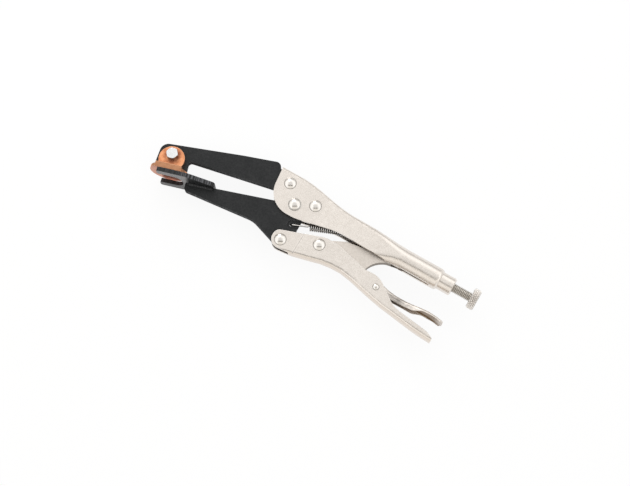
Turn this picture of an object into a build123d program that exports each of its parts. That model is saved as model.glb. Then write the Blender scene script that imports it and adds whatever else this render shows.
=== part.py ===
"""Locking pliers for plug welding, shut on a thin gap, lying on their side.

Millimetres, +Z up. The jaws and handles lie in the XY plane, halved by Z = 0, and +X follows the
adjusting screw towards its knob. Pieces are drawn about a point by the jaw pivot and moved at the end, so that
the middle of the copper pad's working face is the origin.
"""
import os
from math import cos, pi, radians, sin, sqrt, tan

from build123d import *

# Plates, sheets and room between pieces
JAW_PLATE = 6.0
UPPER_SHEET = 2.0
LOWER_SHEET = 1.8
LEVER_SHEET = 1.5
SIDE_ROOM = 0.3
PIN_ROOM = 0.05
LINK_PLATE = 7.0

# Rivets: places in the jaw plane, shanks and domed heads
JAW_PIVOT = (-1.0, 1.7)
JAW_RIVET_FRONT = (-14.8, 17.1)
JAW_RIVET_REAR = (16.1, 9.9)
HANDLE_PIVOT = (4.8, -33.2)
LINK_PIVOT = (37.5, -19.9)
LEVER_PIVOT = (100.6, -28.2)
RIVET_SHANK = 3.2
RIVET_HEAD = 5.7
RIVET_DOME = 2.5
PIVOT_COLLAR = 6.0
COLLAR_HEIGHT = 0.7
LEVER_SHANK = 1.8
LEVER_HEAD = 3.1
LEVER_DOME = 1.5

# Grip: the pad and the fork lie along a line turned from the screw's axis
GRIP_TURN = 17.0
PAD_ALONG = -120.5
PAD_FACE = 5.7
SOLE_RADIUS = 17.6
SOLE_THICK = 3.0
SOLE_FLAT = 12.5
LEDGE_WIDTH = 24.0
LEDGE_RISE = 2.2
LUG_RADIUS = 12.0
LUG_ABOVE_FACE = 12.3
LUG_THICK = 3.4
BOLT_ABOVE_FACE = 16.0
BOLT_RADIUS = 3.0
BOLT_FLATS = 10.0
BOLT_HEAD = 5.0
WASHER_RADIUS = 5.4
WASHER_THICK = 1.6
NUT_HEIGHT = 5.0
BOLT_TAIL = 1.6
JAW_GAP = 2.1
FORK_THICK = 4.0
FORK_WIDTH = 37.0
FORK_SLOT = 21.4
FORK_TIP = -128.6
SLOT_END = -105.0
FORK_SHOULDER = -101.0
FORK_TAIL = -75.6
TAIL_WIDTH = 19.0

# Release lever and the lower handle's ears
LEVER_WIDTH = 8.0
TONGUE_WIDTH = 18.4
TONGUE_END = 167.0
LOWER_REAR = 12.6
EAR_END = 17.0

# Adjusting screw, its bush and knob
SCREW_HEIGHT = 7.7
SCREW_RADIUS = 4.4
TOE_CENTRE = 100.0
TOE_RADIUS = 4.5
TOE_SLANT = 20.0
TOE_ROOM = 2.4
TUBE_RADIUS = 10.0
TUBE_END = 147.6
TUBE_ROUND = 5.0
SEAM_WIDTH = 2.2
SEAM_SIDE = 2.3
BUSH_RADIUS = 8.2
BUSH_INSIDE = 17.6
BUSH_OUTSIDE = 11.8
SCREW_OUT = 17.5
KNOB_LENGTH = 6.8
KNOB_RADIUS = 9.7

# Jaw spring: its line runs from the eye in the heel to a tab in the upper handle
WIRE = 1.0
COIL_RADIUS = 2.3
COIL_TURNS = 20
COIL_PITCH = 1.85
COIL_PHASE = 60.0
SPRING_EYE = (5.6, -15.8)
SPRING_TURN = 25.0
COIL_START = 17.0
CROOK_RADIUS = 2.5
CROOK_SETBACK = 0.3
LEAD_LENGTH = 2.5
TAIL_REACH = 7.5
TAIL_BEND = 1.6
TAIL_LEG = 2.0
TAB_THICK = 1.8
TAB_WIDTH = 6.0
TAB_TOP = 18.6
TAB_DROP = 12.6
TAB_HOLE = 1.3

GRIP = Rot(Z=GRIP_TURN)
FORK_TOP = PAD_FACE - JAW_GAP
FORK_BOTTOM = FORK_TOP - FORK_THICK
SOLE_TOP = PAD_FACE + SOLE_THICK
HALF_JAW = JAW_PLATE / 2
FRONT_INSIDE = JAW_PLATE + 2 * SIDE_ROOM
UPPER_FRONT = FRONT_INSIDE + 2 * UPPER_SHEET
LOWER_FRONT = FRONT_INSIDE + 2 * LOWER_SHEET
LOWER_MIDDLE = LINK_PLATE + 2 * SIDE_ROOM + 2 * LOWER_SHEET


def grip(along, above):
    """A point of the grip line's frame in the jaw plane."""
    turn = radians(GRIP_TURN)
    return (along * cos(turn) - above * sin(turn), along * sin(turn) + above * cos(turn))


def rounded(*corners):
    """A flat face whose corners (x, y, radius) are rounded off."""
    count = len(corners)
    arcs = []
    for i, (x, y, radius) in enumerate(corners):
        here = Vector(x, y)
        back = (Vector(*corners[i - 1][:2]) - here).normalized()
        ahead = (Vector(*corners[(i + 1) % count][:2]) - here).normalized()
        half = radians(back.get_angle(ahead)) / 2
        reach = radius / tan(half)
        inward = (back + ahead).normalized() * (radius / sin(half) - radius)
        arcs.append((here + back * reach, here + inward, here + ahead * reach))
    edges = []
    for i, (start, middle, end) in enumerate(arcs):
        if (start - end).length > 1e-6:
            edges.append(Edge.make_three_point_arc(start, middle, end))
        onward = arcs[(i + 1) % count][0]
        if (onward - end).length > 1e-6:
            edges.append(Edge.make_line(end, onward))
    return Face(Wire(edges))


def plate(face, thick):
    """A flat piece of even thickness, halved by the jaw plane."""
    return extrude(face, amount=thick / 2, both=True)


def post(place, radius, length=60.0):
    """A round bar across the jaw plane."""
    return Pos(*place, 0) * Cylinder(radius, length)


def along_screw(radius, start, end):
    """A round bar on the adjusting screw's axis."""
    return Pos((start + end) / 2, SCREW_HEIGHT, 0) * Rot(Y=90) * Cylinder(radius, end - start)


def section(x, width, bottom, top, radius):
    """A rounded rectangle that stands across the handles."""
    at = Plane(origin=(x, (top + bottom) / 2, 0), x_dir=(0, 1, 0), z_dir=(1, 0, 0))
    return at * RectangleRounded(top - bottom, width, radius)


def rivet(place, shank, head, dome, across, collar=0.0):
    """A rivet with a domed head on each side of what it joins."""
    base = across / 2
    ball = (head * head + dome * dome) / (2 * dome)
    body = Cylinder(shank, across)
    for side in (1, -1):
        foot = base + (COLLAR_HEIGHT if collar else 0.0)
        cap = Pos(0, 0, foot + dome - ball) * Sphere(ball)
        cap = cap & (Pos(0, 0, foot + dome) * Cylinder(head + 1, 2 * dome))
        if collar:
            cap += Pos(0, 0, base + COLLAR_HEIGHT / 2) * Cylinder(collar, COLLAR_HEIGHT)
        body += cap if side == 1 else mirror(cap, about=Plane.XY)
    return Pos(*place, 0) * body


# Upper jaw: the tip stands on the copper pad, the tang is riveted between the handle's cheeks
HUB = 10.4
HUB_ROOM = 0.6
upper_jaw = plate(
    rounded(
        (*grip(-135.3, SOLE_TOP), 1.0),
        (*grip(-104.8, SOLE_TOP), 0.8),
        (-106.6, -11.2, 3.2),
        (-14.5, 8.1, 2.0),
        (0.0, 1.0, 0.0),
        (26.0, 1.0, 7.0),
        (26.0, 20.0, 6.0),
        (-2.0, 25.4, 20.0),
        (-30.2, 25.4, 0.0),
        (-30.2, 31.7, 5.0),
        (-66.0, 19.1, 60.0),
        (*grip(-133.4, 32.3), 8.0),
    ),
    JAW_PLATE,
)
upper_jaw -= post(JAW_PIVOT, HUB + HUB_ROOM)
for place in (JAW_RIVET_FRONT, JAW_RIVET_REAR):
    upper_jaw -= post(place, RIVET_SHANK + PIN_ROOM)
upper_jaw -= post(grip(PAD_ALONG, PAD_FACE + BOLT_ABOVE_FACE), BOLT_RADIUS + PIN_ROOM)

# Lower jaw: arm, pivot hub and the heel that the lower handle pushes
HEEL_POCKET = 4.2
POCKET_DEPTH = 1.2
HEEL_HOLE = 1.4
lower_jaw = plate(
    rounded(
        (*grip(-102.6, FORK_BOTTOM), 0.8),
        (-95.4, -37.3, 3.5),
        (-26.4, -29.6, 22.0),
        (-2.4, -37.4, 5.0),
        (3.8, -40.8, 6.0),
        (12.6, -39.2, 5.5),
        (12.3, -5.0, 2.0),
        (0.0, 2.7, 0.0),
        (*grip(FORK_TAIL + 0.1, FORK_BOTTOM + 0.7), 0.0),
        (*grip(FORK_TAIL + 0.1, FORK_BOTTOM), 0.0),
    ),
    JAW_PLATE,
)
lower_jaw += post(JAW_PIVOT, HUB, JAW_PLATE)
lower_jaw -= post(JAW_PIVOT, RIVET_SHANK + PIN_ROOM)
lower_jaw -= post(HANDLE_PIVOT, RIVET_SHANK + PIN_ROOM)
lower_jaw -= post(SPRING_EYE, HEEL_HOLE)
groove = Box(20, 2 * HEEL_POCKET, 2 * POCKET_DEPTH, align=(Align.MIN, Align.CENTER, Align.CENTER))
pocket = Rot(Z=SPRING_TURN) * (Cylinder(HEEL_POCKET, 2 * POCKET_DEPTH) + groove)
for side in (1, -1):
    lower_jaw -= Pos(*SPRING_EYE, side * HALF_JAW) * pocket

# Plug fork: two prongs with the slot for the torch between them, tail welded on the arm
half_fork = FORK_WIDTH / 2
half_slot = FORK_SLOT / 2
half_tail = TAIL_WIDTH / 2
fork_face = rounded(
    (FORK_TIP, half_fork, 2.0),
    (FORK_TIP, half_slot, 2.0),
    (SLOT_END, half_slot, 9.5),
    (SLOT_END, -half_slot, 9.5),
    (FORK_TIP, -half_slot, 2.0),
    (FORK_TIP, -half_fork, 2.0),
    (FORK_SHOULDER, -half_fork, 5.0),
    (FORK_TAIL, -half_tail, 4.0),
    (FORK_TAIL, half_tail, 4.0),
    (FORK_SHOULDER, half_fork, 5.0),
)
plug_fork = extrude(Plane.XZ * fork_face, amount=-FORK_THICK)
plug_fork = GRIP * Pos(0, FORK_BOTTOM, 0) * plug_fork

# Copper backing pad: round sole with one flat, ledge on it and an upright lug beside the jaw
sole = Rot(X=90) * Cylinder(SOLE_RADIUS, SOLE_THICK)
sole &= Pos(0, 0, SOLE_FLAT - SOLE_RADIUS) * Box(60, 60, 2 * SOLE_RADIUS)
ledge_depth = SOLE_FLAT - HALF_JAW
ledge = Box(LEDGE_WIDTH, LEDGE_RISE, ledge_depth)
ledge = Pos(0, (SOLE_THICK + LEDGE_RISE) / 2, HALF_JAW + ledge_depth / 2) * ledge
lug = Pos(0, LUG_ABOVE_FACE - SOLE_THICK / 2, HALF_JAW + LUG_THICK / 2) * Cylinder(LUG_RADIUS, LUG_THICK)
backing_pad = sole + ledge + lug
backing_pad = GRIP * Pos(PAD_ALONG, PAD_FACE + SOLE_THICK / 2, 0) * backing_pad
bolt_place = grip(PAD_ALONG, PAD_FACE + BOLT_ABOVE_FACE)
backing_pad -= post(bolt_place, BOLT_RADIUS + PIN_ROOM)

# Pad bolt, split washer and nut
hexagon = RegularPolygon(BOLT_FLATS / 2, 6, major_radius=False, rotation=12)
head_top = HALF_JAW + LUG_THICK + BOLT_HEAD
head_crown = Pos(0, 0, head_top - BOLT_HEAD / 2) * Cylinder(BOLT_FLATS * 0.57, BOLT_HEAD)
head_crown = chamfer(head_crown.edges().group_by(Axis.Z)[-1], 0.7)
bolt_head = extrude(Pos(0, 0, head_top - BOLT_HEAD) * hexagon, amount=BOLT_HEAD) & head_crown
nut_face = -HALF_JAW - WASHER_THICK
bolt_end = nut_face - NUT_HEIGHT - BOLT_TAIL
shank_top = HALF_JAW + LUG_THICK
bolt_shank = Pos(0, 0, (shank_top + bolt_end) / 2) * Cylinder(BOLT_RADIUS, shank_top - bolt_end)
pad_bolt = Pos(*bolt_place, 0) * (bolt_head + bolt_shank)
washer_gap = Pos(WASHER_RADIUS, 0, 0) * Rot(X=20) * Box(WASHER_RADIUS * 2, 0.8, 6)
washer = Cylinder(WASHER_RADIUS, WASHER_THICK) - Cylinder(BOLT_RADIUS + PIN_ROOM, 9) - washer_gap
pad_lock_washer = Pos(*bolt_place, -HALF_JAW - WASHER_THICK / 2) * washer
nut = extrude(Pos(0, 0, nut_face - NUT_HEIGHT) * hexagon, amount=NUT_HEIGHT)
nut -= Cylinder(BOLT_RADIUS + PIN_ROOM, 60)
pad_nut = Pos(*bolt_place, 0) * nut

# Upper handle: a channel pinched on the jaws, spread in the middle and rolled to a tube
TUBE = 2 * TUBE_RADIUS
TUBE_FOOT = SCREW_HEIGHT - TUBE_RADIUS
TUBE_CROWN = SCREW_HEIGHT + TUBE_RADIUS
TUBE_CORNER = TUBE_RADIUS - 0.05
OPEN_BELOW = -30.0
CURL_START = 84.0
ROLLED_AT = 108.0
SEAM_END = TUBE_END - 8.2
MOUTH_ROOM = 0.8
upper_stations = (
    (-34.0, UPPER_FRONT, -15.0, 28.2, 3.4),
    (-6.0, UPPER_FRONT, -15.0, 28.2, 3.4),
    (4.0, UPPER_FRONT, -15.0, 27.3, 3.4),
    (14.0, UPPER_FRONT, -15.0, 25.6, 3.4),
    (24.0, UPPER_FRONT, -15.0, 23.5, 3.4),
    (32.0, 11.5, -15.0, 21.9, 3.5),
    (40.0, 12.4, -14.0, 20.5, 3.8),
    (48.0, 13.4, -13.0, 19.7, 4.0),
    (60.0, 14.8, -11.0, 19.4, 4.4),
    (74.0, 16.4, -9.0, 19.2, 5.0),
    (CURL_START, 17.5, -7.0, 18.6, 6.0),
    (92.0, 18.4, -5.2, 18.1, 7.2),
    (100.0, 19.3, -3.4, 17.8, 8.8),
    (ROLLED_AT, TUBE, TUBE_FOOT, TUBE_CROWN, TUBE_CORNER),
    (TUBE_END, TUBE, TUBE_FOOT, TUBE_CROWN, TUBE_CORNER),
)
channel = []
curl = []
for x, width, bottom, top, radius in upper_stations:
    inside = width - 2 * UPPER_SHEET
    if x <= CURL_START:
        channel.append(section(x, inside, OPEN_BELOW, top - UPPER_SHEET, radius - UPPER_SHEET))
    if CURL_START <= x <= ROLLED_AT:
        curl.append(section(x, inside, bottom + UPPER_SHEET, top - UPPER_SHEET, radius - UPPER_SHEET))
side_view = rounded(
    (-29.5, 34.0, 0.0),
    (-23.8, -10.1, 23.7),
    (5.5, -9.9, 40.0),
    (45.5, -1.1, 60.0),
    (72.0, -2.2, 30.0),
    (94.0, -2.6, 0.0),
    (106.0, -8.0, 0.0),
    (200.0, -8.0, 0.0),
    (200.0, 34.0, 0.0),
)
near_lip = SEAM_SIDE + SEAM_WIDTH / 2
far_lip = SEAM_SIDE - SEAM_WIDTH / 2
mouth = LINK_PLATE / 2 + MOUTH_ROOM
seam_view = rounded(
    (CURL_START - 4, -8.0, 0.0),
    (CURL_START + 12, -mouth, 0.0),
    (ROLLED_AT, -mouth, 2.0),
    (ROLLED_AT + 6, far_lip, 2.0),
    (SEAM_END, far_lip, 0.8),
    (SEAM_END, near_lip, 0.8),
    (ROLLED_AT, near_lip, 0.0),
    (CURL_START + 12, mouth, 0.0),
    (CURL_START - 4, 8.0, 0.0),
)
upper_handle = loft([section(*station) for station in upper_stations], ruled=True)
upper_handle &= plate(side_view, 60)
upper_handle -= loft(channel, ruled=True)
upper_handle -= loft(curl, ruled=True)
upper_handle -= along_screw(BUSH_RADIUS, ROLLED_AT - 4, TUBE_END + 1)
upper_handle -= extrude(Plane.XZ * seam_view, amount=40)
end_edge = along_screw(TUBE_RADIUS + 0.1, 120, TUBE_END).edges().sort_by(Axis.X)[-1]
shoulder = fillet(end_edge, TUBE_ROUND)
tube_end = Pos(TUBE_END - TUBE_ROUND, 0, 0) * Box(30, 80, 80, align=(Align.MIN, Align.CENTER, Align.CENTER))
upper_handle -= tube_end - shoulder
for place in (JAW_PIVOT, JAW_RIVET_FRONT, JAW_RIVET_REAR):
    upper_handle -= post(place, RIVET_SHANK + PIN_ROOM)

# Tab pressed in from the handle's spine, which the spring's tail hooks through
spring_length = COIL_START + COIL_TURNS * COIL_PITCH + TAIL_REACH
spring_way = Vector(cos(radians(SPRING_TURN)), sin(radians(SPRING_TURN)), 0)
tab_place = Vector(*SPRING_EYE, 0) + spring_way * spring_length
tab = Box(TAB_THICK, TAB_DROP, TAB_WIDTH, align=(Align.CENTER, Align.MAX, Align.CENTER))
tab = Pos(tab_place.X, TAB_TOP, 0) * tab
tab -= Pos(tab_place.X, tab_place.Y, 0) * Rot(Y=90) * Cylinder(TAB_HOLE, 10)
upper_handle += tab

# Lower handle: a channel that opens upwards, its ears pinched on the jaw's heel
lower_stations = (
    (-8.0, LOWER_FRONT, -48.0, 2.6),
    (16.0, LOWER_FRONT, -40.6, 2.6),
    (19.8, LOWER_FRONT, -39.9, 2.6),
    (21.8, LOWER_MIDDLE, -39.5, 3.0),
    (37.0, LOWER_MIDDLE, -35.7, 3.2),
    (46.0, LOWER_MIDDLE, -33.3, 3.4),
    (56.0, LOWER_MIDDLE, -31.9, 3.4),
    (66.0, LOWER_MIDDLE, -31.7, 3.4),
    (77.0, 11.8, -33.3, 3.4),
    (88.0, LOWER_REAR, -35.8, 3.4),
    (101.0, LOWER_REAR, -38.8, 3.6),
    (112.0, LOWER_REAR, -40.9, 3.6),
    (124.0, 13.2, -42.5, 3.8),
    (146.0, 13.4, -45.5, 4.0),
    (157.0, 13.0, -46.4, 4.0),
    (170.0, 12.0, -47.0, 4.0),
)
lower_view = rounded(
    (-3.6, -42.0, 8.6),
    (-3.6, -26.6, 7.0),
    (39.5, -11.2, 15.0),
    (53.0, -11.2, 25.0),
    (85.0, -19.2, 10.0),
    (98.5, -18.2, 20.0),
    (122.5, -36.0, 25.0),
    (159.0, -40.6, 6.0),
    (165.6, -43.6, 2.5),
    (165.6, -60.0, 0.0),
    (EAR_END, -60.0, 0.0),
    (EAR_END, -40.0, 1.0),
)
lower_handle = loft([section(x, width, low, 10.0, r) for x, width, low, r in lower_stations], ruled=True)
lower_handle &= plate(lower_view, 60)
trough = []
for x, width, low, radius in lower_stations:
    inside = width - 2 * LOWER_SHEET
    trough.append(section(x, inside, low + LOWER_SHEET, 20.0, radius - LOWER_SHEET))
lower_handle -= loft(trough, ruled=True)
ear_gap = Box(40, 80, FRONT_INSIDE, align=(Align.MAX, Align.CENTER, Align.CENTER))
lower_handle -= Pos(EAR_END, -40, 0) * ear_gap
for place in (HANDLE_PIVOT, LINK_PIVOT):
    lower_handle -= post(place, RIVET_SHANK + PIN_ROOM)
lower_handle -= post(LEVER_PIVOT, LEVER_SHANK + PIN_ROOM)

# Toggle link: its eye turns in the lower handle, its toe bears on the adjusting screw
LINK_TOE = TOE_CENTRE + TOE_RADIUS
toe_top = SCREW_HEIGHT + TOE_RADIUS
toe_turn = SCREW_HEIGHT - TOE_RADIUS * tan(radians(TOE_SLANT / 2))
toggle_link = plate(
    rounded(
        (30.2, -27.2, 7.2),
        (30.2, -12.6, 7.2),
        (41.5, -12.4, 6.0),
        (57.0, -4.6, 15.0),
        (80.0, -0.6, 20.0),
        (92.0, toe_top, 6.0),
        (LINK_TOE, toe_top, TOE_RADIUS),
        (LINK_TOE, toe_turn, TOE_RADIUS),
        (101.2, -2.2, 2.5),
        (87.6, -7.1, 22.0),
        (81.6, -25.6, 4.0),
        (73.0, -27.2, 6.0),
    ),
    LINK_PLATE,
)
toggle_link -= post(LINK_PIVOT, RIVET_SHANK + PIN_ROOM)

# Release lever: a channel that opens downwards, tapering to a flat finger tongue
lever_stations = (
    (84.0, LEVER_WIDTH, -22.3, 2.0),
    (104.0, LEVER_WIDTH, -22.3, 2.0),
    (112.0, LEVER_WIDTH, -24.4, 2.0),
    (120.0, 8.6, -25.4, 2.2),
    (130.0, 9.8, -25.4, 2.4),
    (138.0, 12.8, -25.0, 2.6),
    (145.0, 16.4, -24.5, 2.6),
    (152.0, TONGUE_WIDTH, -24.2, 2.6),
    (160.0, TONGUE_WIDTH, -24.7, 2.6),
    (TONGUE_END + 3, TONGUE_WIDTH, -26.4, 2.6),
)
lever_view = rounded(
    (86.2, -20.0, 0.0),
    (86.2, -28.6, 2.0),
    (95.0, -32.6, 5.0),
    (112.0, -31.6, 12.0),
    (138.5, -30.6, 10.0),
    (147.0, -26.8, 12.0),
    (159.0, -26.6, 20.0),
    (TONGUE_END, -28.4, 0.6),
    (TONGUE_END, -20.0, 0.0),
)
half_tongue = TONGUE_WIDTH / 2 + 0.2
tongue_view = rounded(
    (80.0, -half_tongue, 0.0),
    (TONGUE_END, -half_tongue, 6.5),
    (TONGUE_END, half_tongue, 6.5),
    (80.0, half_tongue, 0.0),
)
release_lever = loft([section(x, width, -50.0, top, r) for x, width, top, r in lever_stations], ruled=True)
release_lever &= plate(lever_view, 60)
release_lever &= extrude(Plane.XZ * tongue_view, amount=60)
lever_inside = []
for x, width, top, radius in lever_stations:
    inside = width - 2 * LEVER_SHEET
    lever_inside.append(section(x, inside, -60.0, top - LEVER_SHEET, radius - LEVER_SHEET))
release_lever -= loft(lever_inside, ruled=True)
release_lever -= post(LEVER_PIVOT, LEVER_SHANK + PIN_ROOM)

# Adjusting screw, knob and threaded bush
SCREW_TIP = LINK_TOE + TOE_ROOM
BUSH_START = TUBE_END - BUSH_INSIDE
BUSH_END = TUBE_END + BUSH_OUTSIDE
KNOB_START = BUSH_END + SCREW_OUT
adjusting_screw = along_screw(SCREW_RADIUS, SCREW_TIP, KNOB_START)
adjusting_screw = chamfer(adjusting_screw.edges().sort_by(Axis.X)[0], 1.2)
screw_knob = along_screw(KNOB_RADIUS, KNOB_START, KNOB_START + KNOB_LENGTH)
screw_knob = chamfer(screw_knob.edges().filter_by(GeomType.CIRCLE), 0.8)
screw_bush = along_screw(BUSH_RADIUS, BUSH_START, BUSH_END)
screw_bush = chamfer(screw_bush.edges().sort_by(Axis.X)[-1], 0.9)
screw_bush -= along_screw(SCREW_RADIUS + PIN_ROOM, BUSH_START - 1, BUSH_END + 1)

# Rivets
jaw_pivot_rivet = rivet(JAW_PIVOT, RIVET_SHANK, RIVET_HEAD, RIVET_DOME, UPPER_FRONT, PIVOT_COLLAR)
upper_jaw_rivet_front = rivet(JAW_RIVET_FRONT, RIVET_SHANK, RIVET_HEAD, RIVET_DOME, UPPER_FRONT)
upper_jaw_rivet_rear = rivet(JAW_RIVET_REAR, RIVET_SHANK, RIVET_HEAD, RIVET_DOME, UPPER_FRONT)
handle_pivot_rivet = rivet(HANDLE_PIVOT, RIVET_SHANK, RIVET_HEAD, RIVET_DOME, LOWER_FRONT)
link_rivet = rivet(LINK_PIVOT, RIVET_SHANK, RIVET_HEAD, RIVET_DOME, LOWER_MIDDLE)
release_lever_rivet = rivet(LEVER_PIVOT, LEVER_SHANK, LEVER_HEAD, LEVER_DOME, LOWER_REAR)


def spring_point(along, beside, up):
    """A point by the spring's line: along it, beside it in the jaw plane and above that plane."""
    way = Vector(along, beside, 0).rotate(Axis.Z, SPRING_TURN)
    return Vector(SPRING_EYE[0] + way.X, SPRING_EYE[1] + way.Y, up)


def spring_heading(along, beside, up):
    """A unit direction in the spring line's own axes."""
    return Vector(along, beside, up).normalized().rotate(Axis.Z, SPRING_TURN)


def biarc(start, way, end, out):
    """Two tangent arcs: from start, leaving along way, to end, arriving along out."""
    span = end - start
    square = 2 * (1 - way.dot(out))
    linear = 2 * span.dot(way + out)
    reach = (sqrt(linear * linear + 4 * square * span.dot(span)) - linear) / (2 * square)
    first = start + way * reach
    last = end - out * reach
    middle = (first + last) / 2
    return [Edge.make_tangent_arc(start, way, middle), Edge.make_tangent_arc(middle, last - first, end)]


# Jaw spring: crook through the heel, coil of half-turn biarcs and a tail bent behind the tab
ahead = spring_heading(1, 0, 0)
crook = CROOK_RADIUS - CROOK_SETBACK
crook_start = spring_point(crook, 0, -CROOK_RADIUS)
crook_turn = spring_point(-CROOK_SETBACK, 0, 0)
crook_end = spring_point(crook, 0, CROOK_RADIUS)
lead_end = spring_point(COIL_START - LEAD_LENGTH, 0, CROOK_RADIUS)
wire = [Edge.make_three_point_arc(crook_start, crook_turn, crook_end), Edge.make_line(crook_end, lead_end)]
rise = COIL_PITCH / (2 * pi)
coil = []
for half_turn in range(2 * COIL_TURNS + 1):
    angle = radians(COIL_PHASE) + half_turn * pi
    along = COIL_START + half_turn * COIL_PITCH / 2
    point = spring_point(along, COIL_RADIUS * sin(angle), COIL_RADIUS * cos(angle))
    heading = spring_heading(rise, COIL_RADIUS * cos(angle), -COIL_RADIUS * sin(angle))
    coil.append((point, heading))
wire += biarc(lead_end, ahead, *coil[0])
for (start, way), (end, out) in zip(coil, coil[1:]):
    wire += biarc(start, way, end, out)
tail_start = spring_point(spring_length - TAIL_REACH / 2, 0, 0)
tail_turn = spring_point(spring_length + TAIL_BEND, 0, 0)
tail_down = spring_point(spring_length + 2 * TAIL_BEND, -TAIL_BEND, 0)
tail_end = spring_point(spring_length + 2 * TAIL_BEND, -TAIL_BEND - TAIL_LEG, 0)
wire += biarc(*coil[-1], tail_start, ahead)
wire.append(Edge.make_line(tail_start, tail_turn))
wire.append(Edge.make_tangent_arc(tail_turn, ahead, tail_down))
wire.append(Edge.make_line(tail_down, tail_end))
spring_end = Plane(origin=crook_start, z_dir=wire[0] % 0)
jaw_spring = sweep(spring_end * Circle(WIRE / 2), path=Wire(wire))


def least_gap(edges):
    """The least clear distance of a wire to itself, from points along it."""
    points = []
    travelled = 0.0
    for edge in edges:
        steps = max(3, round(edge.length / 0.4))
        for i in range(steps):
            points.append((travelled + edge.length * i / steps, edge @ (i / steps)))
        travelled += edge.length
    gaps = []
    for i, (far, here) in enumerate(points):
        for near, there in points[:i]:
            if far - near > 4 * WIRE:
                gaps.append((here - there).length - WIRE)
    return min(gaps)


print(f"jaw spring: least gap to itself {least_gap(wire):.2f} mm, {len(jaw_spring.solids())} solid")

pieces = {
    "upper_handle": upper_handle,
    "upper_jaw": upper_jaw,
    "upper_jaw_rivet_front": upper_jaw_rivet_front,
    "upper_jaw_rivet_rear": upper_jaw_rivet_rear,
    "jaw_pivot_rivet": jaw_pivot_rivet,
    "backing_pad": backing_pad,
    "pad_bolt": pad_bolt,
    "pad_lock_washer": pad_lock_washer,
    "pad_nut": pad_nut,
    "lower_jaw": lower_jaw,
    "plug_fork": plug_fork,
    "jaw_spring": jaw_spring,
    "lower_handle": lower_handle,
    "handle_pivot_rivet": handle_pivot_rivet,
    "toggle_link": toggle_link,
    "link_rivet": link_rivet,
    "release_lever": release_lever,
    "release_lever_rivet": release_lever_rivet,
    "screw_bush": screw_bush,
    "adjusting_screw": adjusting_screw,
    "screw_knob": screw_knob,
}
pad_x, pad_y = grip(PAD_ALONG, PAD_FACE)
os.makedirs("parts", exist_ok=True)
for name, piece in pieces.items():
    export_step(Pos(-pad_x, -pad_y, 0) * piece, f"parts/{name}.step")
print(f"{len(pieces)} pieces; the jaw pivot is at x {JAW_PIVOT[0] - pad_x:.3f}, y {JAW_PIVOT[1] - pad_y:.3f}")
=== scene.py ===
"""Locking plug-weld pliers lying on their side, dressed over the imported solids."""
from math import cos, pi, radians, sin, tau

import bpy
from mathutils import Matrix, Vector


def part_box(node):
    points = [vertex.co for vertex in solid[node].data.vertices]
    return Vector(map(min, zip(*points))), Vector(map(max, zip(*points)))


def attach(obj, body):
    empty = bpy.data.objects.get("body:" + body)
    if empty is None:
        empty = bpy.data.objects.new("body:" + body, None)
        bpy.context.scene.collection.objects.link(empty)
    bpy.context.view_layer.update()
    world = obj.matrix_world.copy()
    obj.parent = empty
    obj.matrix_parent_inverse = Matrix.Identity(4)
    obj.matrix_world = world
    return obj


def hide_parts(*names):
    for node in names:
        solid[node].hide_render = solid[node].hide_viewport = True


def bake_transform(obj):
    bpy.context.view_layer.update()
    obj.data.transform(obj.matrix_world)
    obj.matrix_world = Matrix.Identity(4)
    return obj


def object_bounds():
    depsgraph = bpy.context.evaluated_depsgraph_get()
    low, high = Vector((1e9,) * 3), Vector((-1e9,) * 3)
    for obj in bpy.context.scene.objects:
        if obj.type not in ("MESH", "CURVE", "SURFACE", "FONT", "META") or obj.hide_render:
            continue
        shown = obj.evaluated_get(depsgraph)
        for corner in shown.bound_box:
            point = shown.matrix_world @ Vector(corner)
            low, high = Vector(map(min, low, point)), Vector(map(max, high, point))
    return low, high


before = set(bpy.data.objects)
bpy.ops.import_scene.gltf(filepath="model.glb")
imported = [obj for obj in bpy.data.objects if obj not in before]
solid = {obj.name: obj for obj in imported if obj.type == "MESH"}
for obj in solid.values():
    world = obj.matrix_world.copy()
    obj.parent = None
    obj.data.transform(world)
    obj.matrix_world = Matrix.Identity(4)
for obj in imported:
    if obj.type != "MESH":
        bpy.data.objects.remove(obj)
solids_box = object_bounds()


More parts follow.
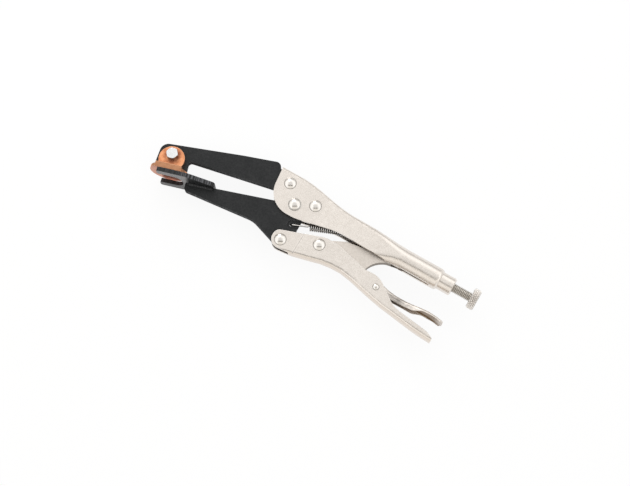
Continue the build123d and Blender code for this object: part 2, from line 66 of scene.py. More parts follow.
# Studio: the pliers lie on a white table inside a broad, even light tent, with the dark of the room showing
# on the side where the camera stands. One soft lamp lights them from beyond the upper jaw.
class Socket:
    """An output in a node tree. Sums of sockets and numbers add Math nodes to that tree."""

    def __init__(self, tree, end):
        self.tree = tree
        self.end = end

    def node(self, kind, settings=None, sockets=None, out=0):
        """An output of a new node, with its settings made first and then its sockets filled or linked."""
        made = self.tree.nodes.new(kind)
        for name, value in (settings or {}).items():
            if name == "stops":
                ramp = made.color_ramp.elements
                while len(ramp) < len(value):
                    ramp.new(0.5)
                for stop, (position, colour) in zip(ramp, value):
                    stop.position = position
                    stop.color = (*colour, 1.0)
            else:
                setattr(made, name, value)
        for key, value in (sockets or {}).items():
            if isinstance(value, Socket):
                self.tree.links.new(value.end, made.inputs[key])
            else:
                made.inputs[key].default_value = value
        return Socket(self.tree, made.outputs[out])

    def math(self, operation, *others):
        """This value, and any others after it, through one Math node."""
        return self.node("ShaderNodeMath", {"operation": operation}, dict(enumerate((self, *others))))

    def __add__(self, other):
        return self.math("ADD", other)

    def __sub__(self, other):
        return self.math("SUBTRACT", other)

    def __rsub__(self, other):
        return self.node("ShaderNodeMath", {"operation": "SUBTRACT"}, {0: other, 1: self})

    def __mul__(self, other):
        return self.math("MULTIPLY", other)

    def __truediv__(self, other):
        return self.math("DIVIDE", other)

    __radd__ = __add__
    __rmul__ = __mul__

    def between(self, low, high):
        """This value on a scale from low to high, held to 0 and 1."""
        return self.node("ShaderNodeMapRange", {"clamp": True}, {"Value": self, 1: low, 2: high})

    def axes(self):
        """The x, y and z of this vector."""
        parts = self.node("ShaderNodeSeparateXYZ", sockets={0: self}).end.node
        return [Socket(self.tree, end) for end in parts.outputs]

    def into(self, node, name):
        self.tree.links.new(self.end, node.inputs[name])


def new_material(name):
    """A fresh material with its shader and the piece's own coordinates."""
    material = bpy.data.materials.new(name)
    material.use_nodes = True
    tree = material.node_tree
    place = Socket(tree, tree.nodes.new("ShaderNodeTexCoord").outputs["Object"])
    return material, tree.nodes["Principled BSDF"], place


def mixed(place, factor, low, high):
    """A colour between two colours or sockets."""
    ends = [c if isinstance(c, Socket) else (*c, 1) for c in (low, high)]
    return place.node("ShaderNodeMix", {"data_type": "RGBA"}, {0: factor, 6: ends[0], 7: ends[1]}, out=2)


TABLE_REACH = 2.0
TABLE_GAP = 0.0002
TABLE_GLOW = 0.9
table_mesh = bpy.data.meshes.new("table")
corners = [(x * TABLE_REACH, y * TABLE_REACH, 0) for x, y in ((-1, -1), (1, -1), (1, 1), (-1, 1))]
table_mesh.from_pydata(corners, [], [(0, 1, 2, 3)])
table = bpy.data.objects.new("table", table_mesh)
table.location = (0.14, 0.0, solids_box[0][2] - TABLE_GAP)
bpy.context.scene.collection.objects.link(table)
table_white, table_shader, place = new_material("table_white")
table_shader.inputs["Base Color"].default_value = (0.9, 0.9, 0.9, 1)
table_shader.inputs["Roughness"].default_value = 0.9
ray = place.node("ShaderNodeLightPath").end.node
camera_ray = Socket(place.tree, ray.outputs["Is Camera Ray"])
glossy_ray = Socket(place.tree, ray.outputs["Is Glossy Ray"])
glowing = (camera_ray * TABLE_GLOW + glossy_ray * TABLE_GLOW).math("MINIMUM", 1.0)
lit = Socket(place.tree, table_shader.outputs[0])
white = place.node("ShaderNodeEmission", sockets={"Strength": 1.0})
table_top = place.node("ShaderNodeMixShader", sockets={0: glowing, 1: lit, 2: white})
table_top.into(next(n for n in place.tree.nodes if n.type == "OUTPUT_MATERIAL"), "Surface")
table_mesh.materials.append(table_white)

IMAGE_RIGHT = Vector((0.8607, 0.5092, 0.0))
IMAGE_UP = Vector((-0.5092, 0.8607, 0.0))
AIM = Vector((0.14955, 0.01071, 0.0))
TENT_STRENGTH = 1.32
TENT_CLOTH = (
    (0.0, (0.34, 0.33, 0.315)), (0.2, (0.7, 0.69, 0.675)), (0.42, (1.0, 0.995, 0.985)),
    (0.78, (1.0, 0.995, 0.985)), (0.93, (0.68, 0.675, 0.665)))
FRONT_CLOTH = (0.68, 0.65, 0.60)
FAR_CLOTH = (0.36, 0.35, 0.34)
ROOM_DARK = (0.06, 0.055, 0.05)

tent = bpy.data.worlds.new("light_tent")
tent.use_nodes = True
bpy.context.scene.world = tent
backdrop = next(n for n in tent.node_tree.nodes if n.type == "BACKGROUND")
sky = Socket(tent.node_tree, tent.node_tree.nodes.new("ShaderNodeTexCoord").outputs["Generated"])


def towards(way):
    """How far the tent's cloth lies towards a way."""
    return sky.node("ShaderNodeVectorMath", {"operation": "DOT_PRODUCT"}, {0: sky, 1: way}, out=1)


height = sky.axes()[2]
across = 1 - towards(IMAGE_RIGHT).math("ABSOLUTE").between(0.5, 0.65)
slant = towards(-IMAGE_UP) / height.math("MAXIMUM", 0.05)
front = across * slant.between(0.2, 0.3) * 0.75
beyond = across * (0 - slant).between(1.6, 2.4) * 0.6
dark = across * slant.between(0.26, 0.32) * (1 - slant.between(0.5, 0.58)) * 0.85
cloth = height.node("ShaderNodeValToRGB", {"stops": TENT_CLOTH}, {0: height.between(0.0, 1.0)})
cloth = mixed(sky, front, cloth, FRONT_CLOTH)
cloth = mixed(sky, beyond, cloth, FAR_CLOTH)
cloth = mixed(sky, dark, cloth, ROOM_DARK)
straight = sky.node("ShaderNodeLightPath")
mixed(sky, straight, cloth, (1, 1, 1)).into(backdrop, "Color")
(TENT_STRENGTH - straight * (TENT_STRENGTH - 1.0)).into(backdrop, "Strength")

lamp = bpy.data.lights.new("key_light", "AREA")
lamp.shape = "DISK"
lamp.size = 0.5
lamp.energy = 2.4
holder = bpy.data.objects.new("key_light", lamp)
holder.location = AIM - IMAGE_RIGHT * 0.2 + IMAGE_UP * 0.95 + Vector((0, 0, 0.5))
holder.rotation_euler = (AIM - holder.location).to_track_quat("-Z", "Y").to_euler()
bpy.context.scene.collection.objects.link(holder)

lens = bpy.data.cameras.new("camera")
lens.sensor_width = 36.0
lens.lens = 63.49
lens.clip_start = 0.01
camera = bpy.data.objects.new("camera", lens)
camera.location = (0.29842, -0.24092, 0.95630)
camera.rotation_euler = (AIM - camera.location).to_track_quat("-Z", "Y").to_euler()
bpy.context.scene.collection.objects.link(camera)
bpy.context.scene.camera = camera
bpy.context.scene.view_settings.view_transform = "Standard"

# Upper handle and bush: the handle is steel sheet, pressed at the front and rolled to a tube at the rear. The
# bush is held in the tube's end. Both are tumbled until finely pitted, then plated with satin nickel.
HANDLE_NICKEL = (0.90, 0.845, 0.79)
HANDLE_SHADE = (0.75, 0.695, 0.64)
HANDLE_ROUGHNESS = 0.25
HANDLE_GRAIN = 0.45
BEND_SHADE = (0.42, 0.385, 0.35)
BENDS_FADE = 0.19
BENDS_END = 0.205
EASED_EDGE = 0.0005


def noise(place, scale, detail=3.0):
    return place.node("ShaderNodeTexNoise", sockets={"Vector": place, "Scale": scale, "Detail": detail})


def streaks(place, scale, detail):
    """Noise drawn out to lines by its own scale along each axis."""
    drawn = place.node("ShaderNodeMapping", sockets={"Vector": place, "Scale": scale})
    return noise(drawn, 1.0, detail)


def facing(place):
    """The x, y and z of the way that a face looks."""
    return Socket(place.tree, place.end.node.outputs["Normal"]).axes()


def flatness(place):
    """1 on faces that look straight up or down, and 0 on upright ones."""
    return facing(place)[2].math("ABSOLUTE")


def feeding(shader, name="Base Color"):
    """What is linked to a shader's socket so far."""
    return Socket(shader.id_data, shader.inputs[name].links[0].from_socket)


def edge_mask(place, radius):
    """1 on sharp outer edges within radius and 0 on open faces."""
    rounded = place.node("ShaderNodeBevel", {"samples": 4}, {"Radius": radius})
    flat = Socket(place.tree, place.node("ShaderNodeNewGeometry").end.node.outputs["Normal"])
    dot = place.node("ShaderNodeVectorMath", {"operation": "DOT_PRODUCT"}, {0: rounded, 1: flat}, out=1)
    return (1 - dot).between(0.02, 0.25)


def eased_relief(place, height, strength, depth, radius=EASED_EDGE):
    """A bump over edges that are eased by radius."""
    rounded = place.node("ShaderNodeBevel", {"samples": 4}, {"Radius": radius})
    return place.node("ShaderNodeBump", sockets={
        "Strength": strength, "Distance": depth, "Height": height, "Normal": rounded})


def nickel_plate(name, colour, shade, roughness, grain):
    """Nickel over tumbled steel: cloudy sheen, fine pits and a painted highlight along the edges."""
    material, shader, place = new_material(name)
    smudge = noise(place, 260.0)
    pits = noise(place, 950.0, 2.0)
    lines = streaks(place, (60.0, 1400.0, 1400.0), 2.0)
    tone = noise(place, 60.0, 4.0).between(0.3, 0.7) * 0.2 + smudge.between(0.35, 0.75) * 0.2
    tone = tone + pits.between(0.36, 0.64) * 0.6
    # Painted highlight: a brighter copy of the colour, laid over the edges through a bevel mask.
    painted_light = tuple(min(1.0, c * 1.25) for c in colour)
    plate = mixed(place, tone, shade, colour)
    mixed(place, edge_mask(place, EASED_EDGE) * 0.6, plate, painted_light).into(shader, "Base Color")
    shader.inputs["Metallic"].default_value = 1.0
    (roughness - 0.06 + smudge * 0.1 + pits * 0.08).into(shader, "Roughness")
    eased_relief(place, pits * 0.8 + lines * 0.2, grain, 0.00006).into(shader, "Normal")
    return material, shader, place


def bent_corners(shader, place):
    """The plate's colour, with painted shade along the long bends in front of the tube."""
    lean = facing(place)[1].math("ABSOLUTE")
    bend = lean.between(0.04, 0.16) * (1 - lean.between(0.4, 0.6))
    bend = bend * (1 - place.axes()[0].between(BENDS_FADE, BENDS_END))
    return mixed(place, bend * noise(place, 600.0).between(0.25, 0.6) * 0.6, feeding(shader), BEND_SHADE)


handle_nickel, shader, place = nickel_plate(
    "satin_nickel", HANDLE_NICKEL, HANDLE_SHADE, HANDLE_ROUGHNESS, HANDLE_GRAIN)
bent_corners(shader, place).into(shader, "Base Color")
for node in ("upper_handle", "screw_bush"):
    solid[node].data.materials[0] = handle_nickel

# Lower handle: a channel pressed from steel sheet and plated like the upper one. A joggle behind the jaw's
# heel brings its front cheeks closer together, with painted shade in its corner. The spine, which faces down,
# is painted a darker, warmer shade, and the cheeks' rims carry a painted highlight.
SPINE_SHADE_NICKEL = (0.785, 0.70, 0.62)
JOGGLE_SHADE = (0.30, 0.28, 0.26)
JOGGLE_X = 0.1377
CHEEK_RIM_HIGHLIGHT = (1.0, 0.97, 0.94)
CHEEK_HIGHLIGHT_WIDTH = 0.0009
lower_nickel, shader, place = nickel_plate(
    "pressed_nickel", HANDLE_NICKEL, HANDLE_SHADE, HANDLE_ROUGHNESS, HANDLE_GRAIN)
# Painted shade: a darker, warmer colour on the faces that look down.
spine_shade = (0 - facing(place)[1]).between(0.55, 0.85)
plate = mixed(place, spine_shade * 0.9, bent_corners(shader, place), SPINE_SHADE_NICKEL)
# Painted shade along the joggle's crease.
from_joggle = (place.axes()[0] - JOGGLE_X).math("ABSOLUTE")
corner = (1 - from_joggle.between(0.0003, 0.0006)) * noise(place, 700.0) * 0.8
joggle = (1 - from_joggle.between(0.0008, 0.0012)) * 0.25 + corner
plate = mixed(place, joggle * flatness(place).between(0.6, 0.8), plate, JOGGLE_SHADE)
# Painted highlight along the cheeks' rims.
mixed(place, edge_mask(place, CHEEK_HIGHLIGHT_WIDTH) * 0.8, plate, CHEEK_RIM_HIGHLIGHT).into(shader, "Base Color")
solid["lower_handle"].data.materials[0] = lower_nickel

# Jaws: arms flame-cut from steel plate and blackened. The cut leaves drag lines through the plate's thickness
# on edges that are rougher than its rolled faces, and handling rubs the corners to grey, a grey that is also
# a painted highlight.
OXIDE_DARK = (0.005, 0.006, 0.007)
OXIDE_LIGHT = (0.021, 0.022, 0.023)
DRAG_GREY = (0.13, 0.133, 0.146)
WORN_HIGHLIGHT_GREY = (0.20, 0.20, 0.215)
WORN_WIDTH = 0.0008
PLATE_EDGE = 0.0006
CUT_ROUGHER = 0.35


def black_oxide(name, drag_lines):
    """Blackened plate, with its own drag lines."""
    material, shader, place = new_material(name)
    cloud = noise(place, 90.0, 5.0)
    speckle = noise(place, 800.0, 3.0)
    tone = cloud.between(0.3, 0.7) * 0.4 + speckle.between(0.35, 0.65) * 0.6
    black = mixed(place, tone, OXIDE_DARK, OXIDE_LIGHT)
    black = mixed(place, drag_lines(place), black, DRAG_GREY)
    # Grey corners: partly real wear and partly a painted highlight along the edges.
    wear_and_highlight = edge_mask(place, WORN_WIDTH) * cloud.between(0.3, 0.6) * 0.5
    mixed(place, wear_and_highlight, black, WORN_HIGHLIGHT_GREY).into(shader, "Base Color")
    shader.inputs["Specular IOR Level"].default_value = 0.28
    (0.38 + speckle * 0.16).into(shader, "Roughness")
    eased_relief(place, speckle, 0.3, 0.00005, PLATE_EDGE).into(shader, "Normal")
    return material, shader, place


def cut_edges(place):
    """1 on the jaws' cut edges and 0 on their rolled faces."""
    return 1 - flatness(place).between(0.5, 0.7)


def jaw_drag_lines(place):
    return cut_edges(place) * streaks(place, (520.0, 520.0, 15.0), 1.0).between(0.42, 0.62) * 0.4


jaw_black, shader, place = black_oxide("black_oxide", jaw_drag_lines)
(feeding(shader, "Roughness") + cut_edges(place) * CUT_ROUGHER).into(shader, "Roughness")
for node in ("upper_jaw", "lower_jaw"):
    solid[node].data.materials[0] = jaw_black

# Plug fork: the same plate set across the jaw and cut to a U, so its drag lines show on the faces along the
# prongs, and most of all on its tail. Its downward faces carry painted light, a smooth grey towards the tips.
GRIP_TURN = radians(17.0)
TAIL_LINES = (0.012, 0.016)
UNDERSIDE_LIGHT_GREY = (0.21, 0.21, 0.215)
UNDERSIDE_LIGHT_END = (0.018, 0.022)
UNDERSIDE_LIGHT_SIDE = (-0.008, -0.001)


def along_grip(place):
    """Metres along the grip, from the middle of the pad's face."""
    x, y = place.axes()[:2]
    return x * cos(GRIP_TURN) + y * sin(GRIP_TURN)


def fork_drag_lines(place):
    lines = place.node("ShaderNodeTexNoise", {"noise_dimensions": "1D"}, {
        "W": along_grip(place), "Scale": 620.0, "Detail": 1.0})
    strength = 0.15 + along_grip(place).between(*TAIL_LINES) * 0.6
    return flatness(place).between(0.7, 0.85) * lines.between(0.44, 0.6) * strength


fork_black, shader, place = black_oxide("fork_oxide", fork_drag_lines)
# Painted light: a lighter grey on the faces that look down, strongest on the near side and fading out behind
# the prongs.
scale = (-0.45 - facing(place)[1]).between(0.0, 0.3) * (0.7 + noise(place, 220.0) * 0.6)
scale = scale * (1 - along_grip(place).between(*UNDERSIDE_LIGHT_END))
scale = scale * (0.45 + place.axes()[2].between(*UNDERSIDE_LIGHT_SIDE) * 0.55)
mixed(place, scale, feeding(shader), UNDERSIDE_LIGHT_GREY).into(shader, "Base Color")
solid["plug_fork"].data.materials[0] = fork_black

# Weld: one rippled bead on each side of the lower jaw holds the fork's tail, blackened with the plates.
# Each ripple is a squat drop laid half over the last one.
DRAWN = Vector((0.116901, 0.02978, 0.0))
GRIP_WAY = Vector((cos(GRIP_TURN), sin(GRIP_TURN), 0.0))
GRIP_ABOVE = Vector((-sin(GRIP_TURN), cos(GRIP_TURN), 0.0))
WELD_BEFORE = 0.0995
WELD_BELOW = 0.0009
WELD_OUT = 0.0031
WELD_RIPPLES = 15
RIPPLE_STEP = 0.00155
RIPPLE_RADIUS = 0.0015
RIPPLE_SEED = 7


def growth(name, sizes):
    """A geometry tree with a named input for each size, and those inputs as sockets."""
    tree = bpy.data.node_groups.new(name, "GeometryNodeTree")
    tree.interface.new_socket("Geometry", in_out="OUTPUT", socket_type="NodeSocketGeometry")
    tree.interface.new_socket("Geometry", in_out="INPUT", socket_type="NodeSocketGeometry")
    kinds = {int: "NodeSocketInt", float: "NodeSocketFloat", Vector: "NodeSocketVector"}
    for label, value in sizes.items():
        made = tree.interface.new_socket(label, in_out="INPUT", socket_type=kinds[type(value)])
        made.default_value = value
    group = tree.nodes.new("NodeGroupInput")
    return tree, {label: Socket(tree, group.outputs[label]) for label in ("Geometry", *sizes)}


def grown(name, tree, shape, sizes, material, seed=None):
    """An object with the plain mesh that a tree grows from its sizes, and from a seed mesh if it has one."""
    real = shape.node("GeometryNodeRealizeInstances", sockets={0: shape})
    painted = real.node("GeometryNodeSetMaterial", sockets={0: real, "Material": material})
    painted.into(tree.nodes.new("NodeGroupOutput"), "Geometry")
    piece = bpy.data.objects.new(name, seed or bpy.data.meshes.new(name))
    bpy.context.scene.collection.objects.link(piece)
    modifier = piece.modifiers.new("growth", "NODES")
    modifier.node_group = tree
    for item in tree.interface.items_tree:
        if item.in_out == "INPUT" and item.name in sizes:
            modifier[item.identifier] = sizes[item.name]
    ready = piece.evaluated_get(bpy.context.evaluated_depsgraph_get())
    mesh = bpy.data.meshes.new_from_object(ready)
    piece.modifiers.clear()
    piece.data = mesh
    return piece


for side, out in (("near", WELD_OUT), ("far", -WELD_OUT)):
    start = DRAWN - GRIP_WAY * WELD_BEFORE - GRIP_ABOVE * WELD_BELOW + Vector((0, 0, out))
    sizes = {"Ripples": WELD_RIPPLES, "Start": start, "Step": GRIP_WAY * RIPPLE_STEP,
             "Bead": RIPPLE_RADIUS, "Seed": RIPPLE_SEED}
    tree, size = growth(f"weld_{side}", sizes)
    line = size["Start"].node("GeometryNodeMeshLine", sockets={
        "Count": size["Ripples"], "Start Location": size["Start"], "Offset": size["Step"]})
    drop = line.node("GeometryNodeMeshIcoSphere", sockets={"Radius": size["Bead"], "Subdivisions": 3})
    uneven = line.node("FunctionNodeRandomValue", {"data_type": "FLOAT_VECTOR"}, {
        0: (0.8, 0.75, 0.8), 1: (1.1, 1.15, 1.15), "Seed": size["Seed"]})
    tilt = line.node("FunctionNodeRandomValue", {"data_type": "FLOAT_VECTOR"}, {
        0: (-0.3, -0.3, 0.0), 1: (0.3, 0.3, 0.6), "Seed": size["Seed"] + 1})
    beads = line.node("GeometryNodeInstanceOnPoints", sockets={
        "Points": line, "Instance": drop, "Rotation": tilt, "Scale": uneven})
    weld = grown(f"weld_{side}", tree, beads, sizes, jaw_black)
    weld.data.shade_smooth()
    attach(weld, "jaw")

# Rivets: domed steel rivets. Two fix the upper jaw in its handle, and four are the pivots of the lower jaw,
# the lower handle, the link and the lever. They are plated like the handles and polished by the heading tool,
# with a painted shadow round the foot of each head.
RIVET_NICKEL = (0.84, 0.805, 0.765)
RIVET_SHADE = (0.74, 0.71, 0.67)
RIVET_FOOT_SHADOW = (0.10, 0.095, 0.09)
rivet_nickel, shader, place = nickel_plate("bright_nickel", RIVET_NICKEL, RIVET_SHADE, 0.15, 0.1)
# Painted shadow round the foot of each dome.
foot_shadow = 1 - flatness(place).between(0.70, 0.76)
mixed(place, foot_shadow * 0.8, feeding(shader), RIVET_FOOT_SHADOW).into(shader, "Base Color")
for node in ("upper_jaw_rivet_front", "upper_jaw_rivet_rear", "jaw_pivot_rivet", "handle_pivot_rivet",
             "link_rivet", "release_lever_rivet"):
    solid[node].data.materials[0] = rivet_nickel

# Toggle link: a thick steel plate that turns on its rivet in the lower handle, with its toe inside the upper
# one. It has the same nickel plate, duller from its handling, with painted dark shade on its sheared edges.
LINK_NICKEL = (0.76, 0.705, 0.65)
LINK_SHADE = (0.62, 0.57, 0.52)
EDGE_SHADE_BROWN = (0.17, 0.14, 0.11)
link_nickel, shader, place = nickel_plate("dull_nickel", LINK_NICKEL, LINK_SHADE, 0.42, 0.4)
# Painted shade: dark brown on the edge faces.
edge_shade = 1 - flatness(place).between(0.4, 0.6)
mixed(place, edge_shade * 0.85, feeding(shader), EDGE_SHADE_BROWN).into(shader, "Base Color")
solid["toggle_link"].data.materials[0] = link_nickel

# Release lever: thin pressed steel, riveted inside the lower handle's channel and plated like it. It has
# painted dark shade in streaks about its middle, and painted brown shade on its hollow underside.
LEVER_NICKEL = (0.80, 0.745, 0.69)
LEVER_SHADE = (0.66, 0.61, 0.56)
STREAKED_SHADE_DARK = (0.16, 0.145, 0.13)
SHADE_STREAKS_FROM = (0.226, 0.232)
SHADE_STREAKS_TO = (0.243, 0.256)
UNDERSIDE_SHADE_BROWN = (0.20, 0.125, 0.06)
UNDERSIDE_SHADE_END = (0.275, 0.283)
lever_nickel, shader, place = nickel_plate("lever_nickel", LEVER_NICKEL, LEVER_SHADE, 0.3, 0.3)
along = place.axes()[0]
# Painted shade in streaks along the lever's middle.
painted_light = along.between(*SHADE_STREAKS_FROM) * (1 - along.between(*SHADE_STREAKS_TO))
painted_light = painted_light * streaks(place, (90.0, 1500.0, 1500.0), 2.0).between(0.42, 0.6)
plate = mixed(place, painted_light * 0.8, feeding(shader), STREAKED_SHADE_DARK)
# Painted brown shade on the faces that look down into the handle, fading towards the tip.
underside_shade = (-0.1 - facing(place)[1]).between(0.0, 0.5) * (0.8 + noise(place, 180.0) * 0.4)
underside_shade = underside_shade * (1 - along.between(*UNDERSIDE_SHADE_END) * 0.8)
mixed(place, underside_shade, plate, UNDERSIDE_SHADE_BROWN).into(shader, "Base Color")
solid["release_lever"].data.materials[0] = lever_nickel

# Backing pad: a copper shoe whose upright lug is bolted to the tip of the upper jaw. It is bright on the lug,
# sawn on the ledge and mottled with tarnish. It has painted dark red shade round the bolt and a painted
# highlight on its rims, and its working face has a painted pale reflection at the tip and painted red shade
# further in.
COPPER_BRIGHT = (0.86, 0.39, 0.20)
COPPER_TARNISH = (0.58, 0.22, 0.10)
BOLT_SHADE_COPPER = (0.36, 0.13, 0.075)
COPPER_SAWN = (0.42, 0.22, 0.125)
COPPER_RIM_HIGHLIGHT = (1.0, 0.66, 0.46)
FACE_REFLECTION_PINK = (0.60, 0.32, 0.24)
FACE_SHADE_RED = (0.64, 0.16, 0.06)
FACE_LIGHT_CHANGE = (-0.009, -0.005)
BOLT_SHADE_RADII = (0.0062, 0.0094)
SAWN_FROM = (0.0078, 0.0082)
COPPER_HIGHLIGHT_WIDTH = 0.0007


def middle(node):
    """The middle of a node's box."""
    low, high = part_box(node)
    return (Vector(low) + Vector(high)) / 2


copper, shader, place = new_material("heated_copper")
cloud = noise(place, 190.0, 5.0)
fine = noise(place, 1300.0)
tarnish = cloud.between(0.40, 0.66)
plain = mixed(place, tarnish, COPPER_BRIGHT, COPPER_TARNISH)
x, y, z = place.axes()
bolt = middle("pad_bolt")
x, y = x - bolt.x, y - bolt.y
# Painted shade: dark red round the bolt.
bolt_shade = 1 - (x * x + y * y).math("SQRT").between(*BOLT_SHADE_RADII)
plain = mixed(place, bolt_shade * cloud.between(0.3, 0.6) * 0.8, plain, BOLT_SHADE_COPPER)
sawn = z.between(*SAWN_FROM)
plain = mixed(place, sawn * 0.85, plain, COPPER_SAWN)
# Working face: a painted pale reflection towards the tip and painted red shade further in, on faces that look
# down.
face_light = mixed(place, along_grip(place).between(*FACE_LIGHT_CHANGE), FACE_REFLECTION_PINK, FACE_SHADE_RED)
plain = mixed(place, (-0.3 - facing(place)[1]).between(0.0, 0.4) * 0.9, plain, face_light)
# Painted highlight along the rims.
mixed(place, edge_mask(place, COPPER_HIGHLIGHT_WIDTH) * 0.75, plain, COPPER_RIM_HIGHLIGHT).into(shader, "Base Color")
shader.inputs["Metallic"].default_value = 1.0
(0.34 + tarnish * 0.16 + fine * 0.1 + sawn * 0.1).into(shader, "Roughness")
eased_relief(place, fine * 0.6 + cloud * 0.4, 0.35, 0.00008).into(shader, "Normal")
solid["backing_pad"].data.materials[0] = copper

# Pad bolt, split washer and nut: zinc-plated steel fasteners that clamp the lug to the jaw's tip. They are
# bright on their flat ends, with painted shade that greys the bevels and darkens the wrench flats most.
ZINC_BRIGHT = (0.94, 0.955, 0.97)
ZINC_SHADE = (0.80, 0.82, 0.84)
ZINC_FLATS_SHADE = (0.34, 0.345, 0.36)
ZINC_BEVEL_SHADE = (0.52, 0.53, 0.55)
zinc, shader, place = nickel_plate("bright_zinc", ZINC_BRIGHT, ZINC_SHADE, 0.2, 0.2)
flat = flatness(place)
# Painted shade on the upright faces and the bevels.
plate = mixed(place, flat.between(0.2, 0.4), ZINC_FLATS_SHADE, feeding(shader))
bevel_shade = flat.between(0.4, 0.5) * (1 - flat.between(0.93, 0.99))
mixed(place, bevel_shade * 0.7, plate, ZINC_BEVEL_SHADE).into(shader, "Base Color")
for node in ("pad_bolt", "pad_lock_washer", "pad_nut"):
    solid[node].data.materials[0] = zinc

# Adjusting screw: a rolled steel thread, with painted shade in its roots, that runs through the bush to the
# link's toe. The blank is a grid of angle and length, wrapped round the axis and closed at both ends.
THREAD_STEEL = (0.72, 0.685, 0.635)
THREAD_SHADE = (0.54, 0.51, 0.465)
ROOT_SHADE = (0.10, 0.092, 0.082)
SCREW_SIZES = {"Rows": 561, "Columns": 41, "Crest": 0.00438, "Root": 0.0035, "Pitch": 0.0015}
THREAD_ROOTS = (0.0027, 0.0042)
TIP_BEVEL = 0.0006
SHARP_CORNER = radians(50)


def turned_bar(name, node, sizes, surface, material):
    """A bar along x in the place of a node, whose radius at an angle and a length comes from a surface."""
    low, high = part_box(node)
    sizes = {**sizes, "Length": high[0] - low[0], "Axis": middle(node)}
    tree, size = growth(name, sizes)
    rows = size["Rows"]
    grid = rows.node("GeometryNodeMeshGrid", sockets={
        "Size X": tau, "Size Y": 1.0, "Vertices X": size["Columns"], "Vertices Y": rows})
    angle, share = rows.node("GeometryNodeInputPosition").axes()[:2]
    share = share * (rows - 1) / (rows - 3)
    along = share.math("MINIMUM", 0.5).math("MAXIMUM", -0.5) * size["Length"]
    inside = share.math("ABSOLUTE").math("LESS_THAN", 0.5001)
    radius = surface(size, angle, along) * inside
    x, y, z = size["Axis"].axes()
    place = rows.node("ShaderNodeCombineXYZ", sockets={
        0: x + along, 1: y + radius * angle.math("COSINE"), 2: z + radius * angle.math("SINE")})
    wrapped = grid.node("GeometryNodeSetPosition", sockets={"Geometry": grid, "Position": place})
    closed = wrapped.node("GeometryNodeMergeByDistance", sockets={"Geometry": wrapped, "Distance": 2e-6})
    piece = grown(name, tree, closed, sizes, material)
    piece.data.set_sharp_from_angle(angle=SHARP_CORNER)
    return piece


def triangle(value):
    """A wave from 0 to 1 and back over each whole number."""
    return 1 - (value.math("FRACT") * 2 - 1).math("ABSOLUTE")


def thread(size, angle, along):
    """The thread's radius, with its front end bevelled."""
    ridge = triangle(along / size["Pitch"] - angle / tau).between(0.12, 0.88)
    radius = size["Root"] + (size["Crest"] - size["Root"]) * ridge
    tip = size["Root"] - TIP_BEVEL + (along + size["Length"] * 0.5)
    return radius.math("MINIMUM", tip)


def shaded_roots(shader, place, node, low, high):
    """Paints shade on a turned piece towards its roots, from one radius to another, and not on its ends."""
    axis = middle(node)
    x, y, z = place.axes()
    y, z = y - axis.y, z - axis.z
    root_shade = 1 - (y * y + z * z).math("SQRT").between(low, high)
    root_shade = root_shade * (1 - facing(place)[0].math("ABSOLUTE").between(0.9, 0.97))
    mixed(place, root_shade, feeding(shader), ROOT_SHADE).into(shader, "Base Color")


thread_steel, shader, place = nickel_plate("thread_steel", THREAD_STEEL, THREAD_SHADE, 0.24, 0.2)
# Painted shade in the thread's roots.
shaded_roots(shader, place, "adjusting_screw", *THREAD_ROOTS)
screw = turned_bar("threaded_screw", "adjusting_screw", SCREW_SIZES, thread, thread_steel)
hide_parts("adjusting_screw")
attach(screw, "screw")

# Knob: the screw's head, turned from steel with bevelled rims. A diamond knurl is pressed into it for the
# fingers, and it is plated like the handles.
KNOB_NICKEL = (0.90, 0.855, 0.81)
KNOB_SHADE = (0.76, 0.72, 0.675)
KNOB_SIZES = {"Rows": 57, "Columns": 337, "Crest": 0.00968, "Depth": 0.0011, "Diamonds": 24.0,
              "Diamond Length": 0.0026}
KNURL_ROOTS = (0.0081, 0.0090)
KNOB_BEVEL = 0.0011


def knurl(size, angle, along):
    """The knob's radius, with a diamond where two lays of grooves cross."""
    turn = angle * (size["Diamonds"] / tau)
    lay = along / size["Diamond Length"]
    diamond = triangle(turn + lay).math("MINIMUM", triangle(turn - lay)).between(0.08, 0.75)
    radius = size["Crest"] - size["Depth"] * (1 - diamond)
    rim = size["Crest"] - KNOB_BEVEL + (size["Length"] * 0.5 - along.math("ABSOLUTE"))
    return radius.math("MINIMUM", rim)


knob_nickel, shader, place = nickel_plate("knurled_nickel", KNOB_NICKEL, KNOB_SHADE, 0.2, 0.2)
# Painted shade in the knurl's grooves.
shaded_roots(shader, place, "screw_knob", *KNURL_ROOTS)
knob = turned_bar("knurled_knob", "screw_knob", KNOB_SIZES, knurl, knob_nickel)
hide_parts("screw_knob")
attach(knob, "knob")

# Jaw spring: oil-tempered wire that hooks through the jaw's heel, runs to a close coil under the upper handle
# and ends bent behind the handle's tab.
EYE = DRAWN + Vector((0.0056, -0.0158, 0.0))
SPRING_TURN = radians(22.5)
TAB_TURN = radians(25.0)
SPRING_WAY = Vector((cos(SPRING_TURN), sin(SPRING_TURN), 0.0))
LEAD = SPRING_WAY * 0.004
MILLIMETRE = 0.001
HOOK_END = (5.0, 3.6)
HOOK_RADIUS = 2.5
HOOK_MIDDLE = 2.2
HOOK_STEPS = 12
HOOK_SHANK = (6.0, 10.0, 14.5)
COIL_RADIUS = 2.5
COIL_START = 17.0
COIL_PITCH = 1.85
COIL_TURNS = 20
COIL_STEPS = 24
COIL_PHASE = radians(60.0)
LEAD_STEPS = 8
TAIL_START = 58.6
TAIL_BEND = 63.1
BEND_RADIUS = 1.6
BEND_STEPS = 5
TAIL_DROP = 3.6
SPRING_SIZES = {"Wire": 0.00066, "Drawn": 0.78, "Sides": 12, "Eye": EYE}
FULL_WIRE_FROM = (0.008, 0.011)
FULL_WIRE_TO = (0.0545, 0.058)
SPRING_STEEL = (0.88, 0.86, 0.83)
SPRING_SHADE = (0.66, 0.64, 0.62)
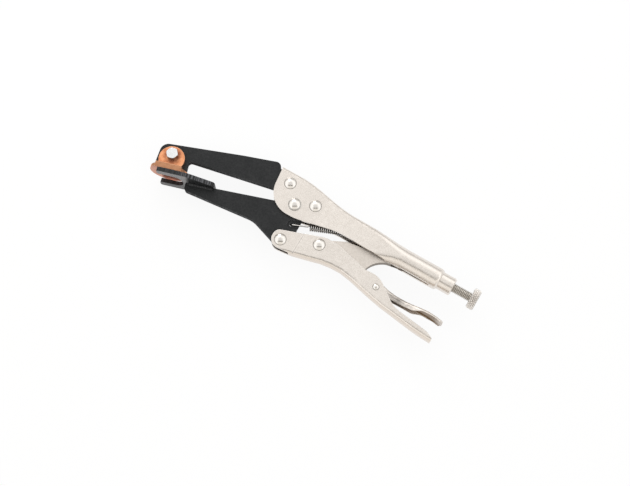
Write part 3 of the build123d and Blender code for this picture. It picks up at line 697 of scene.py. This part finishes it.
SPRING_GAP_SHADE = (0.015, 0.014, 0.013)


def by_spring(along, beside, up, turn=SPRING_TURN):
    """A point by a line from the eye, from millimetres along it, beside it and above it."""
    way = Vector((cos(turn), sin(turn), 0.0))
    side = Vector((-sin(turn), cos(turn), 0.0))
    return EYE + (way * along + side * beside + Vector((0, 0, up))) * MILLIMETRE


def eased(start, leaving, end, arriving):
    """Points between two places on a curve that leaves and arrives as asked."""
    points = []
    for i in range(1, LEAD_STEPS):
        t = i / LEAD_STEPS
        points.append(start * (2 * t**3 - 3 * t**2 + 1) + leaving * (t**3 - 2 * t**2 + t)
                      + end * (3 * t**2 - 2 * t**3) + arriving * (t**3 - t**2))
    return points


wire = [by_spring(along, 0, -HOOK_RADIUS) for along in HOOK_END]
for step in range(HOOK_STEPS + 1):
    angle = pi * (step / HOOK_STEPS - 0.5)
    wire.append(by_spring(HOOK_MIDDLE - HOOK_RADIUS * cos(angle), 0, HOOK_RADIUS * sin(angle)))
wire += [by_spring(along, 0, HOOK_RADIUS) for along in HOOK_SHANK]
coil = []
for step in range(COIL_TURNS * COIL_STEPS + 1):
    angle = COIL_PHASE + step * tau / COIL_STEPS
    along = COIL_START + step * COIL_PITCH / COIL_STEPS
    coil.append(by_spring(along, COIL_RADIUS * sin(angle), COIL_RADIUS * cos(angle)))
tail = by_spring(TAIL_START, 0, 0, TAB_TURN)
wire += eased(wire[-1], LEAD, coil[0], (coil[1] - coil[0]) * LEAD_STEPS)
wire += coil
wire += eased(coil[-1], (coil[-1] - coil[-2]) * LEAD_STEPS, tail, LEAD)
wire += [tail, by_spring(TAIL_BEND, 0, 0, TAB_TURN)]
for step in range(1, BEND_STEPS + 1):
    angle = pi / 2 * step / BEND_STEPS
    wire.append(by_spring(TAIL_BEND + BEND_RADIUS * sin(angle), BEND_RADIUS * (cos(angle) - 1), 0, TAB_TURN))
wire.append(by_spring(TAIL_BEND + BEND_RADIUS, -TAIL_DROP, 0, TAB_TURN))
path = bpy.data.meshes.new("spring_path")
path.from_pydata([tuple(p) for p in wire], [(i, i + 1) for i in range(len(wire) - 1)], [])

tree, size = growth("spring_wire", SPRING_SIZES)
route = size["Wire"].node("GeometryNodeMeshToCurve", sockets={0: size["Geometry"]})
gauge = size["Wire"].node("GeometryNodeCurvePrimitiveCircle", sockets={
    "Resolution": size["Sides"], "Radius": size["Wire"]})
from_eye = route.node("ShaderNodeVectorMath", {"operation": "DISTANCE"}, {
    0: route.node("GeometryNodeInputPosition"), 1: size["Eye"]}, out=1)
full = from_eye.between(*FULL_WIRE_FROM) * (1 - from_eye.between(*FULL_WIRE_TO))
route = route.node("GeometryNodeSetCurveRadius", sockets={
    "Curve": route, "Radius": size["Drawn"] + (1 - size["Drawn"]) * full})
tube = route.node("GeometryNodeCurveToMesh", sockets={
    "Curve": route, "Profile Curve": gauge, "Fill Caps": True})

spring_steel, shader, place = nickel_plate("spring_steel", SPRING_STEEL, SPRING_SHADE, 0.16, 0.1)
# Painted light: a painted highlight along each turn's outer ridge, and nearly black painted shade on its
# sides and in the gaps.
x, y, z = place.axes()
facing_x, facing_y, facing_z = facing(place)
out = (y - EYE.y) * cos(SPRING_TURN) - (x - EYE.x) * sin(SPRING_TURN)
facing_out = facing_y * cos(SPRING_TURN) - facing_x * sin(SPRING_TURN)
reach = (out * out + z * z).math("SQRT")
ridge = ((facing_out * out + facing_z * z) / reach).between(0.84, 0.97)
mixed(place, ridge, SPRING_GAP_SHADE, feeding(shader)).into(shader, "Base Color")
spring = grown("wound_spring", tree, tube, SPRING_SIZES, spring_steel, path)
spring.data.set_sharp_from_angle(angle=SHARP_CORNER)
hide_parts("jaw_spring")
tuple(by_spring(12.0, 0, 0))
tuple(by_spring(54.0, 0, 0))
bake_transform(spring)
